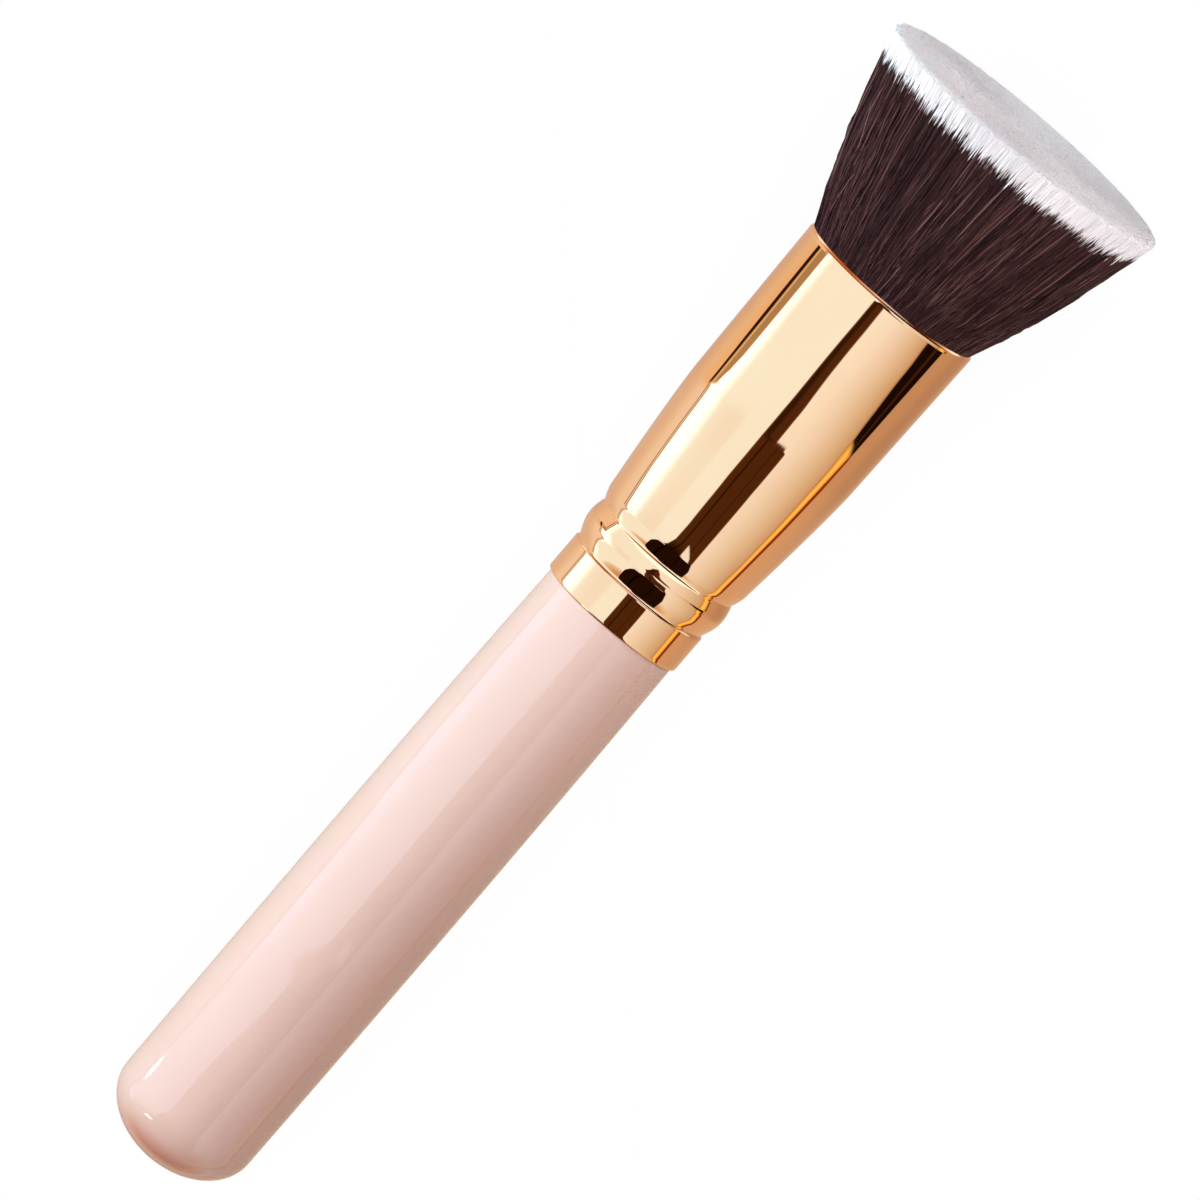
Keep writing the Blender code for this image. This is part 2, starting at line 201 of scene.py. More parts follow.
# edges of what the polished ferrule mirrors
# each point is millimetres along the brush and degrees round it from the camera's side
cardEdges = {
    "leftBoxOuter": [
        (-440, -110), (-235, -105), (-191, -99), (-150, -93), (-138, -87.5), (-118, -83.5),
        (-108, -84.5), (-93, -87.0), (-90, -90.0), (-79, -94.0), (-62, -95.5), (-54, -95.4),
        (-31.6, -96.5), (-29.9, -98.5), (-29.8, -91.5), (-28.6, -88.5), (-26.2, -86.7), (-9, -86.8),
        (60, -85)],
    "leftBoxWhite": [(-93, -71), (-50, -74), (-25, -76), (-9, -81)],   # white outside it, cream inside
    "gapLeft": [
        (-440, -42), (-280, -34), (-180, -26), (-135, -20.5), (-131, -19), (-124, -10), (-117, -9),
        (-115.2, -28), (-113.4, -24), (-112.4, -14), (-111.3, -8), (-109, -4.0), (-103.5, -3.3),
        (-84, -5.2), (-31.5, -5.4), (-21, -6.8), (-9, -8.2), (10, -5), (30, -3), (60, -1), (80, 4)],
    "gapRight": [
        (-440, 50), (-280, 44), (-180, 38), (-135, 36), (-108, 34.6), (-101, 33.0), (-82, 30.4),
        (-62, 29.4), (-35.4, 28.6), (-33.6, 27.6), (-32.9, 24.5), (-32.8, 12.7), (-21, 7.9), (-9, 4.0),
        (-7, 5), (-6, 26), (0, 33), (6, 33), (12, 27), (20, 16), (40, 12), (60, 11), (80, 7)],
    "rightBoxOuter": [
        (-440, 104), (-235, 101), (-191, 99), (-144, 93), (-108, 91), (-90, 89.2), (-85, 90.3),
        (-70, 88.0), (-54, 85.4), (-29.4, 84.3), (-25.7, 81.9), (-19.6, 76.3), (-9, 69), (-4, 68),
        (0, 86), (60, 87)],
    "amberOuter": [
        (-440, 112), (-191, 108.5), (-144, 102.5), (-108, 98), (-86, 96.8), (-70, 95.4), (-54, 93.4),
        (-33, 92.5), (-26, 94.0), (0, 97)],
    "redOuter": [
        (-440, 117), (-191, 113), (-144, 107), (-108, 102.5), (-86, 101.5), (-68, 100.2), (-54, 98.3),
        (-33, 97.3), (-26, 97.2), (0, 100)],
    "lineOuter": [(-29, -103.6), (-19, -106.6), (-9, -108.0)],
    "lineInner": [(-29, -99.6), (-19, -100.6), (-9, -102.0)],
}

# where the cards begin and end, in metres along the brush
cardEnds = {
    "leftDip": (-0.112, -0.034), "gap": 0.082, "gapTail": (-0.56, -0.52), "gapNarrows": (-0.0349, -0.0319),
    "gapFoot": (-0.1085, -0.1125), "gapRims": (-0.110, -0.107), "board": (-0.0264, -0.004),
    "strip": (-0.0298, -0.002), "darkTip": (0.135, 0.50), "tipStripe": (0.095, 0.130),
}

cardColours = {
    "floorByHandle": (0.74, 0.565, 0.41), "floorByBarrel": (0.63, 0.46, 0.325),
    "floorShade": (0.52, 0.36, 0.26),
    "boxWhite": (2.2, 2.4, 3.4), "boxCream": (1.07, 1.50, 1.93), "boxDip": (0.027, 0.086, 0.12),
    "gapLeft": (0.036, 0.016, 0.006), "gapRight": (0.088, 0.034, 0.010), "gapRim": (0.20, 0.065, 0.012),
    "gapCorner": (1.05, 1.35, 1.7), "board": (0.012, 0.005, 0.003), "boardStreak": (0.062, 0.023, 0.008),
    "amber": (1.0, 0.62, 0.10), "amberCore": (1.12, 0.98, 0.30), "amberShade": (0.45, 0.20, 0.06),
    "redEdge": (0.30, 0.050, 0.006), "strip": (0.47, 0.39, 0.25), "stripCore": (0.88, 0.72, 0.46),
    "stripEdge": (0.62, 0.36, 0.16), "darkLine": (0.035, 0.013, 0.006), "thinLine": (0.16, 0.07, 0.03),
    "tipLeft": (0.50, 0.19, 0.06), "tipRight": (0.08, 0.032, 0.015), "tipFloor": (0.72, 0.53, 0.37),
    "tipWall": (1.20, 1.45, 1.70), "tipUnder": (0.46, 0.31, 0.20), "tipStripe": (1.5, 2.1, 2.8),
    "tailCap": (0.20, 0.09, 0.04), "tipCap": (1.3, 1.6, 2.0),
}

# colours that run into each other, the floor's by degrees round the brush,
# the right box's by share of its width, the tail's by metres past the handle
cardFades = {
    "leftFloorByNeck": [
        (-180, (0.66, 0.51, 0.41)), (-165, (0.72, 0.57, 0.47)), (-148, (0.80, 0.67, 0.56)),
        (-134, (0.83, 0.73, 0.63)), (-121, (0.90, 0.86, 0.78)), (-111, (0.98, 1.0, 1.0)),
        (-100, (1.0, 1.04, 1.08))],
    "leftFloorByBarrel": [
        (-180, (0.66, 0.50, 0.39)), (-165, (0.70, 0.53, 0.42)), (-148, (0.75, 0.58, 0.46)),
        (-134, (0.84, 0.71, 0.55)), (-121, (0.90, 0.82, 0.65)), (-111, (0.96, 0.78, 0.52)),
        (-100, (0.96, 0.78, 0.52))],
    "rightBox": [
        (0, (1.08, 1.42, 1.76)), (0.24, (1.07, 1.34, 1.64)), (0.47, (0.99, 1.15, 1.33)),
        (0.72, (0.86, 0.90, 0.87)), (1.0, (0.69, 0.56, 0.42))],
    "amberTail": [
        (0.36, (0.92, 0.92, 0.85)), (0.425, (0.70, 0.50, 0.30)), (0.465, (0.90, 0.56, 0.20)),
        (0.49, (0.88, 0.46, 0.11)), (0.53, (0.85, 0.50, 0.2)), (0.57, (0.22, 0.095, 0.035))],
}

# two small lamps that sparkle on the handle's end: place and half size, in metres and degrees,
# and between what shares of that size they fade
tentLamps = [
    ((-0.1399, -86), (0.0016, 3.4), (0.8, 1.2)),
    ((-0.480, -55), (0.030, 10.0), (0.7, 1.3)),
]


def easedStep(low, high, value):
    share = np.clip((value - low) / (high - low), 0, 1)
    return share * share * (3 - 2 * share)


def within(low, high, value, soft):
    return easedStep(low - soft, low + soft, value) * (1 - easedStep(high - soft, high + soft, value))


def endsAt(name, along, softFrom, softTo):
    start, end = cardEnds[name]
    begun = easedStep(start - softFrom, start + softFrom, along)
    return begun * (1 - easedStep(end - softTo, end + softTo, along))


def blendIn(glow, mask, colour):
    # the colour is one of the cards' own, by name, or one for every point
    colour = np.asarray(cardColours[colour], float) if isinstance(colour, str) else colour
    return glow * (1 - mask[:, None]) + colour * mask[:, None]


def mixed(low, high, share):
    return np.outer(1 - share, cardColours[low]) + np.outer(share, cardColours[high])


def edgeAt(name, along):
    points = cardEdges[name]
    return np.interp(along * 1000, [p[0] for p in points], [p[1] for p in points])


def fadeAt(name, where):
    stops = cardFades[name]
    places = [place for place, colour in stops]
    channels = [[colour[k] for place, colour in stops] for k in range(3)]
    return np.stack([np.interp(where, places, channel) for channel in channels], axis=1)


def floorGlow(along, around):
    # warm copper that is brighter on the left
    byBarrel = easedStep(-0.080, -0.012, along)
    glow = mixed("floorByHandle", "floorByBarrel", byBarrel)
    share = (easedStep(-0.045, -0.026, along) * (1 - 0.6 * easedStep(-0.010, -0.002, along)))[:, None]
    left = fadeAt("leftFloorByNeck", around) * (1 - share) + fadeAt("leftFloorByBarrel", around) * share
    glow = blendIn(glow, 1 - easedStep(-20, 20, around), left)
    return blendIn(glow, within(118, 152, around, 12) * 0.8 * byBarrel, "floorShade")


def paintBoxes(glow, along, around):
    # left softbox, white near its outer edge, less so by the handle
    byHandle = 1 - easedStep(-0.128, -0.114, along)
    outer, white = edgeAt("leftBoxOuter", along), edgeAt("leftBoxWhite", along)
    boxColour = mixed("boxWhite", "boxCream", easedStep(-7, 9, around - white + 30 * byHandle))
    dip = easedStep(-72, -46, around) * (1 - easedStep(-35, -29, around))
    dip = dip * endsAt("leftDip", along, 0.003, 0.003)
    boxColour = boxColour * (1 - np.outer(dip, cardColours["boxDip"]))
    glow = blendIn(glow, within(outer, -2.0, around, 0.5), boxColour)

    # right softbox, fading outward
    outer = edgeAt("rightBoxOuter", along)
    boxColour = fadeAt("rightBox", np.clip((around - 8) / (outer - 8), 0, 1))
    glow = blendIn(glow, within(-2.0, outer, around, 0.6), boxColour)

    # far past the tail both boxes turn amber, which the crimps pick up
    return blendIn(glow, easedStep(0.32, 0.36, -along), fadeAt("amberTail", -along))


def paintGap(glow, along, around):
    # brown gap between the boxes, with darker seams, thin red rims and a bright corner at its foot
    low, high = edgeAt("gapLeft", along), edgeAt("gapRight", along)
    shown = 1 - easedStep(cardEnds["gap"] - 0.004, cardEnds["gap"] + 0.004, along)
    shown = shown * easedStep(*cardEnds["gapTail"], along)
    share = np.clip((around - low) / (high - low), 0, 1)
    narrow = easedStep(*cardEnds["gapNarrows"], along)
    brown = mixed("gapLeft", "gapRight", easedStep(0.3, 0.55, share) * narrow + (1 - narrow) * 0.95)
    seams = within(0.235, 0.285, share, 0.02) + within(0.66, 0.69, share, 0.015) * 0.7
    brown = brown * (1 - 0.75 * seams * (1 - narrow))[:, None]
    brown = brown * (1 - 0.8 * easedStep(*cardEnds["gapFoot"], along))[:, None]
    glow = blendIn(glow, within(low, high, around, 0.5) * shown, brown)
    rims = within(low, low + 1.3, around, 0.4) + within(high - 1.3, high, around, 0.4)
    rims = rims * shown * easedStep(*cardEnds["gapRims"], along)
    glow = blendIn(glow, np.clip(rims, 0, 1) * 0.8, "gapRim")
    corner = within(15, 30 + (along + 0.1105) * -1500, around, 1.0)
    corner = corner * within(-0.1115, -0.1075 - (around - 15) * 0.00012, along, 0.0003)
    return blendIn(glow, np.clip(corner, 0, 1), "gapCorner")


def paintRightCards(glow, along, around):
    # black board low on the right of the barrel, amber card and its dark red edge past it
    low, middle = edgeAt("rightBoxOuter", along), edgeAt("amberOuter", along)
    boardOuter = studio["boardOuter"]
    onBoard = endsAt("board", along, 0.0004, 0.002)
    streak = within(0.52, 0.66, (around - low) / (boardOuter - low), 0.06)
    board = mixed("board", "boardStreak", streak)
    glow = blendIn(glow, within(low, boardOuter, around, 0.5) * onBoard, board)
    core = within(0.25, 0.72, (around - low) / (middle - low), 0.15)
    amber = mixed("amber", "amberCore", core)
    glow = blendIn(glow, within(low, middle, around, 0.5) * (1 - onBoard), amber)
    glow = blendIn(glow, within(middle, edgeAt("redOuter", along), around, 0.4) * (1 - onBoard), "redEdge")
    return blendIn(glow, within(low - 1.8, low - 0.3, around, 0.4) * 0.55, "amberShade")


def paintLeftLines(glow, along, around):
    # dark line and tan strip outside the left softbox by the barrel, two thin lines past it
    outer, onStrip = edgeAt("leftBoxOuter", along), endsAt("strip", along, 0.0003, 0.002)
    lineOuter, lineInner = edgeAt("lineOuter", along), edgeAt("lineInner", along)
    glow = blendIn(glow, within(lineInner, outer - 1.2, around, 0.5) * onStrip, "strip")
    glow = blendIn(glow, within(lineInner + 0.6, lineInner + 3.4, around, 0.6) * onStrip, "stripCore")
    glow = blendIn(glow, within(outer - 1.6, outer - 0.2, around, 0.4) * onStrip * 0.8, "stripEdge")
    glow = blendIn(glow, within(lineOuter, lineInner, around, 0.6) * onStrip, "darkLine")
    thin = within(outer - 5.0, outer - 3.5, around, 0.4) + within(outer - 1.7, outer - 0.3, around, 0.4)
    return blendIn(glow, np.clip(thin, 0, 1) * (1 - onStrip) * 0.8, "thinLine")


def paintTip(glow, along, around):
    # dark room past the tip, which the crimps and the mouth's lip pick up
    tipFrom, tipTo = cardEnds["darkTip"]
    tip = easedStep(tipFrom, tipFrom + 0.02, along) * (1 - easedStep(tipTo, tipTo + 0.05, along))
    glow = blendIn(glow, tip, mixed("tipLeft", "tipRight", easedStep(-15, 15, around)))
    # low down there is floor again, with a pale strip of wall above it
    low = np.abs(around)
    glow = blendIn(glow, tip * easedStep(88, 112, low), "tipFloor")
    glow = blendIn(glow, tip * within(116, 138, low, 9), "tipWall")
    glow = blendIn(glow, tip * easedStep(150, 175, low), "tipUnder")
    glow = blendIn(glow, endsAt("tipStripe", along, 0.006, 0.006) * within(-78, 76, around, 4), "tipStripe")
    return blendIn(glow, easedStep(tipTo, tipTo + 0.05, along), "tipCap")


def tentGlow(along, around):
    # what the polished ferrule mirrors, by metres along the brush and degrees round it
    glow = floorGlow(along, around)
    for paint in (paintBoxes, paintGap, paintRightCards, paintLeftLines, paintTip):
        glow = paint(glow, along, around)
    for place, half, fade in tentLamps:
        lamp = 1 - easedStep(*fade, np.hypot((along - place[0]) / half[0], (around - place[1]) / half[1]))
        glow = glow + studio["lampGlow"] * lamp[:, None]
    return glow


def tentRings():
    # places along the brush, closest together where the cards end
    length = studio["tentLength"]
    spans = [
        (-length, -0.16, 0.006), (-0.16, -0.142, 0.001), (-0.142, -0.104, 0.0003),
        (-0.104, -0.036, 0.001), (-0.036, -0.024, 0.0002), (-0.024, 0.03, 0.001),
        (0.03, 0.15, 0.003), (0.15, length + 0.003, 0.006)]
    return np.concatenate([np.arange(*span) for span in spans])


def lightTent():
    # painted surround that only reflections see
    alongs = tentRings()
    turns, steps = studio["tentTurns"], len(alongs) - 1
    along = np.repeat(alongs, turns)
    around = np.tile(np.linspace(-180, 180, turns, endpoint=False), len(alongs))
    angle = np.radians(around)
    radius = studio["tentRadius"]
    pivot, shift = studio["cardShift"]
    swung = np.arctan2(along - pivot, radius) + math.radians(studio["cardSwing"])
    swung = pivot + shift + radius * np.tan(swung)
    points = np.stack([swung, -radius * np.sin(angle), radius * np.cos(angle)], axis=1)
    ends = [[swung.min() - studio["capDepth"], 0, 0], [swung.max() + studio["capDepth"], 0, 0]]
    points = np.concatenate([points, ends])
    tail, tip = len(along), len(along) + 1
    row, col = np.divmod(np.arange(steps * turns), turns)
    start, nxt = row * turns, (col + 1) % turns
    faces = np.stack([start + col, start + nxt, start + turns + nxt, start + turns + col], axis=1).tolist()
    for col in range(turns):
        nxt = (col + 1) % turns
        faces.append((nxt, col, tail))
        faces.append((steps * turns + col, steps * turns + nxt, tip))
    mesh = bpy.data.meshes.new("lightTent")
    mesh.from_pydata(points.tolist(), [], faces)
    paint = mesh.color_attributes.new("glow", "FLOAT_COLOR", "POINT")
    rgba = np.ones((len(points), 4), np.float32)
    rgba[:, :3] = np.concatenate([tentGlow(along, around), [cardColours["tailCap"], cardColours["tipCap"]]])
    paint.data.foreach_set("color", rgba.ravel())
    tent = bpy.data.objects.new("lightTent", mesh)
    bpy.context.scene.collection.objects.link(tent)
    middle = Vector((0, 0, laid["endZ"] - laid["endX"] * math.tan(lean)))
    tent.matrix_world = Matrix.Translation(middle) @ Matrix(
        (alongBrush, (0, 1, 0), overBrush)).transposed().to_4x4()
    material, tree = newMaterial("tentGlow")
    attribute = put(tree, "ShaderNodeVertexColor", layer_name="glow")
    light = put(tree, "ShaderNodeEmission", {"Color": attribute.outputs["Color"]})
    put(tree, "ShaderNodeOutputMaterial", {"Surface": light.outputs[0]})
    material.cycles.emission_sampling = "NONE"
    mesh.materials.append(material)
    for ray in ("camera", "diffuse", "transmission", "volume_scatter", "shadow"):
        setattr(tent, "visible_" + ray, False)


def paleFloor():
    # the camera sees it white with a soft shade under the brush, the brush gets warm light back from it
    half = studio["floorSize"] / 2
    mesh = bpy.data.meshes.new("floor")
    corners = [(-half, -half, 0), (half, -half, 0), (half, half, 0), (-half, half, 0)]
    mesh.from_pydata(corners, [], [(0, 1, 2, 3)])
    floor = bpy.data.objects.new("floor", mesh)
    bpy.context.scene.collection.objects.link(floor)
    material, tree = newMaterial("paleFloor")
    ray = put(tree, "ShaderNodeLightPath")
    matt = put(tree, "ShaderNodeBsdfDiffuse", {"Color": (0.86, 0.62, 0.56, 1)})
    shade = put(tree, "ShaderNodeAmbientOcclusion", {"Distance": studio["floorShadeReach"]}, samples=12)
    white = rampOf(tree, shade.outputs["AO"], [
        (0.0, (0.80, 0.77, 0.765)), (0.3, (0.955, 0.95, 0.948)), (0.6, (1, 1, 1))])
    glow = put(tree, "ShaderNodeEmission", {"Color": white})
    both = put(tree, "ShaderNodeMixShader", {
        0: ray.outputs["Is Camera Ray"], 1: matt.outputs[0], 2: glow.outputs[0]})
    put(tree, "ShaderNodeOutputMaterial", {"Surface": both.outputs[0]})
    material.cycles.emission_sampling = "NONE"
    mesh.materials.append(material)
    floor.visible_glossy = False


def paleWorld():
    world = bpy.data.worlds.new("paleWorld")
    world.use_nodes = True
    tree = world.node_tree
    tree.nodes.clear()
    ray = put(tree, "ShaderNodeLightPath")
    fill = put(tree, "ShaderNodeBackground", {"Color": (1.0, 0.82, 0.74, 1), "Strength": studio["fill"]})
    seen = put(tree, "ShaderNodeBackground", {"Color": (1, 1, 1, 1)})
    both = put(tree, "ShaderNodeMixShader", {
        0: ray.outputs["Is Camera Ray"], 1: fill.outputs[0], 2: seen.outputs[0]})
    put(tree, "ShaderNodeOutputWorld", {"Surface": both.outputs[0]})
    bpy.context.scene.world = world


softLights = {
    # name: degrees round the brush as on the tent, metres along it from its middle, distance, width, power,
    # colour, what it aims at in metres along the brush, spread
    "keyLight": (-60, 0, 0.9, 0.5, 8.9, (0.66, 0.915, 1.0), 0.0, 180),
    "topLight": (-2, 0, 0.9, 0.5, 7.3, (1.0, 0.87, 0.85), 0.0, 180),
    "tuftLight": (66, 0.16, 0.14, 0.08, 0.035, (0.92, 0.97, 1.0), 0.08, 60),
}


def softLight(name, around, reach, distance, width, power, colour, aimed, spread):
    data = bpy.data.lights.new(name, "AREA")
    data.shape = "RECTANGLE"
    data.size = data.size_y = width
    data.energy = power
    data.color = colour
    data.spread = math.radians(spread)
    light = bpy.data.objects.new(name, data)
    bpy.context.scene.collection.objects.link(light)
    angle = math.radians(around)
    aside = Vector((0, -1, 0)) * math.sin(angle) + overBrush * math.cos(angle)
    middle = Vector((0, 0, studio["aimHeight"]))
    place = middle + aside * distance + alongBrush * reach
    aim = (middle + alongBrush * aimed - place).normalized()
    light.matrix_world = Matrix.Translation(place) @ aim.to_track_quat("-Z", "Y").to_matrix().to_4x4()
    light.visible_camera = False
    light.visible_glossy = False


lightTent()
paleFloor()
paleWorld()
for name, settings in softLights.items():
    softLight(name, *settings)
bpy.context.scene.view_settings.view_transform = "Standard"
print("floor and lights in place")


def turnRound(name, profile, sides, closed=False):
    # sweeps (radius, height) points round the axis; a point on the axis becomes a pole
    shape = bmesh.new()
    rings = []
    for radius, height in profile:
        if radius < 1e-7:
            rings.append([shape.verts.new((0, 0, height))])
            continue
        turns = [math.tau * k / sides for k in range(sides)]
        places = [(radius * math.cos(turn), radius * math.sin(turn), height) for turn in turns]
        rings.append([shape.verts.new(place) for place in places])
    pairs = list(zip(rings, rings[1:]))
    if closed:
        pairs.append((rings[-1], rings[0]))
    for low, high in pairs:
        for k in range(sides):
            nxt = (k + 1) % sides
            if len(low) == 1:
                shape.faces.new((low[0], high[nxt], high[k]))
            elif len(high) == 1:
                shape.faces.new((low[k], low[nxt], high[0]))
            else:
                shape.faces.new((low[k], low[nxt], high[nxt], high[k]))
    bmesh.ops.recalc_face_normals(shape, faces=shape.faces)
    for face in shape.faces:
        face.smooth = True
    mesh = bpy.data.meshes.new(name)
    shape.to_mesh(mesh)
    shape.free()
    mesh.transform(layDown)
    piece = bpy.data.objects.new(name, mesh)
    bpy.context.scene.collection.objects.link(piece)
    return piece


def bend(midRadius, midHeight, radiusReach, heightReach, fromAngle, toAngle, steps):
    # rounded corner, angles from straight out toward the tip
    points = []
    for step in range(steps + 1):
        angle = math.radians(fromAngle + (toAngle - fromAngle) * step / steps)
        radius = midRadius + radiusReach * math.cos(angle)
        points.append((radius, midHeight + heightReach * math.sin(angle)))
    return points


def straight(start, end, spacing):
    count = max(1, round(math.dist(start, end) / spacing))
    return [(start[0] + (end[0] - start[0]) * k / count, start[1] + (end[1] - start[1]) * k / count)
            for k in range(1, count)]


handleSizes = {
    "length": 0.0818, "domeLength": 0.0067, "endRadius": 0.00906, "bellyRadius": 0.00917, "bellyAt": 0.042,
    "neckRadius": 0.00889, "neckRound": 0.00012,
    "joint": 0.00005,      # how far the shoulder stays below the collar
    "tenonRadius": 0.00829, "tenonLength": 0.0217, "tenonChamfer": 0.0006,
    "sides": 192, "spacing": 0.0009, "domeSteps": 40,
}

ferruleSizes = {
    "wall": 0.00045, "collarRadius": 0.0093, "collarLength": 0.0051, "collarRound": 0.00012,
    "crimpWidth": 0.0006, "lowerCrimp": 0.00904, "upperCrimp": 0.00948,
    "beadRadius": 0.00983, "beadLength": 0.0048, "beadSteps": 40,
    "footRadius": 0.00982, "flareLength": 0.0186, "flareBow": 1.25, "shoulderRadius": 0.0115,
    "barrelLength": 0.021, "mouthRadius": 0.01188, "lipLength": 0.00042,
    # upper crimp: millimetres out and up from where the bead ends, in its groove and then round the foot
    "groove": [(-0.033, -0.067), (-0.033, 0.06), (0.05, 0.245), (0.16, 0.49), (0.255, 0.74), (0.34, 0.99),
               (0.417, 1.24)],
    "footFrom": 0.0016,
    # bevels of the lip, dark line first and then the bright one: lean in degrees, reach
    "lipBevels": [(12, 0.00005), (27, 0.00018), (36, 0.00004), (46, 0.00014)],
    "boreRadius": 0.0108, "boreDepth": 0.006, "collarBore": 0.0007,   # points that the inside passes
    "sides": 256, "spacing": 0.0003,
}


def restOnTable(mesh, margin=1e-6):
    # nothing reaches below the table or past the brush's own ends
    low, high = np.array(cadBox[0], np.float32) + margin, np.array(cadBox[1], np.float32) - margin
    places = np.empty(len(mesh.vertices) * 3, np.float32)
    mesh.vertices.foreach_get("co", places)
    mesh.vertices.foreach_set("co", np.clip(places.reshape(-1, 3), low, high).ravel())
    mesh.update()


def handlePiece():
    s = handleSizes
    profile = bend(0, s["domeLength"], s["endRadius"], s["domeLength"], -90, 0, s["domeSteps"])
    profile[0] = (0, 0)
    edge = s["length"] - s["joint"]
    tenonEnd = edge + s["tenonLength"]
    count = round((edge - s["domeLength"]) / s["spacing"])
    for k in range(1, count + 1):
        height = s["domeLength"] + (edge - s["neckRound"] - s["domeLength"]) * k / count
        if height < s["bellyAt"]:
            share = (s["bellyAt"] - height) / (s["bellyAt"] - s["domeLength"])
            radius = s["bellyRadius"] - (s["bellyRadius"] - s["endRadius"]) * share ** 2
        else:
            share = (height - s["bellyAt"]) / (edge - s["neckRound"] - s["bellyAt"])
            radius = s["bellyRadius"] - (s["bellyRadius"] - s["neckRadius"]) * share ** 2
        profile.append((radius, height))
    neck = s["neckRound"]
    profile += bend(s["neckRadius"] - neck, edge - neck, neck, neck, 0, 90, 6)[1:]
    profile += [(s["tenonRadius"], edge), (s["tenonRadius"], tenonEnd - s["tenonChamfer"]),
                (s["tenonRadius"] - s["tenonChamfer"], tenonEnd), (0, tenonEnd)]
    piece = turnRound("lacquered_handle", profile, s["sides"])
    restOnTable(piece.data)
    return piece


def ferruleOutside(lip, crimpA, crimpB, shoulder):
    # from the collar's edge up to the mouth
    s = ferruleSizes
    mouth = shoulder + s["barrelLength"]
    edge, soft = s["collarRadius"], s["collarRound"]
    softAt = crimpA - s["crimpWidth"] / 2 - soft
    run = [(edge, lip)] + straight((edge, lip), (edge, softAt), s["spacing"])
    run += bend(edge - soft, softAt, soft, soft, 0, 60, 6)
    crown = s["beadRadius"] - (s["lowerCrimp"] + s["upperCrimp"]) / 2
    for k in range(s["beadSteps"] - 1):
        share = k / s["beadSteps"]
        base = s["lowerCrimp"] + (s["upperCrimp"] - s["lowerCrimp"]) * share
        run.append((base + crown * math.sin(math.pi * share), crimpA + s["beadLength"] * share))
    run += [(s["upperCrimp"] + out / 1000, crimpB + up / 1000) for out, up in s["groove"]]
    footAt = crimpB + s["footFrom"]
    count = round((shoulder - footAt) / s["spacing"])
    for k in range(count + 1):
        height = footAt + (shoulder - footAt) * k / count
        opened = 1 - (1 - (height - crimpB) / s["flareLength"]) ** s["flareBow"]
        run.append((s["footRadius"] + (s["shoulderRadius"] - s["footRadius"]) * opened, height))
    top = (s["mouthRadius"], mouth - s["lipLength"])
    run += straight((s["shoulderRadius"], shoulder), top, s["spacing"]) + [top]
    for angle, reach in s["lipBevels"]:
        radius, height = run[-1]
        angle = math.radians(angle)
        run.append((radius - reach * math.sin(angle), height + reach * math.cos(angle)))
    radius, height = run[-1]
    half = (radius - (s["mouthRadius"] - s["wall"])) / 2
    return run + bend(radius - half, height, half, mouth - height, 30, 180, 8)


def ferrulePiece():
    s = ferruleSizes
    wall, lip = s["wall"], s["wall"] / 2
    crimpA = s["collarLength"]
    crimpB = crimpA + s["beadLength"]
    foot = crimpB + s["crimpWidth"] / 2
    shoulder = crimpB + s["flareLength"]
    outside = ferruleOutside(lip, crimpA, crimpB, shoulder)
    inside = [
        (s["shoulderRadius"] - wall, shoulder), (s["boreRadius"], shoulder - s["boreDepth"]),
        (s["footRadius"] - wall, foot), (s["upperCrimp"] - wall, crimpB),
        (s["beadRadius"] - wall, (crimpA + crimpB) / 2), (s["lowerCrimp"] - wall, crimpA),
        (s["collarRadius"] - wall, crimpA - s["collarBore"]), (s["collarRadius"] - wall, lip)]
    hem = bend(s["collarRadius"] - lip, lip, lip, lip, -180, 0, 10)[1:-1]
    profile = [(radius, height + handleSizes["length"]) for radius, height in outside + inside + hem]
    return turnRound("spun_ferrule", profile, s["sides"], closed=True)


def roseGold():
    # plated mirror finish with faint clouds, turning marks and smudges
    material, tree = newMaterial("roseGoldPlate")
    place = brushCoords(tree)
    base = rampOf(tree, noiseOf(tree, place, 90, 3), [
        (0.3, (0.885, 0.505, 0.268)), (0.7, (0.915, 0.535, 0.292))])
    turning = noiseOf(tree, brushCoords(tree, (9000, 60, 60)), 1.0, 2)
    dulled = rescale(tree, noiseOf(tree, place, 260, 4, 0.6), 0.4, 0.75, 0.007, 0.015)
    marked = rescale(tree, turning, 0.3, 0.7, 0.0, 0.004)
    mainShader(tree, {
        "Metallic": 1.0, "IOR": 1.5, "Base Color": base, "Roughness": calc(tree, "ADD", dulled, marked),
        "Normal": bumpFrom(tree, noiseOf(tree, place, 55, 2), 0.12, 0.0006)})
    return material


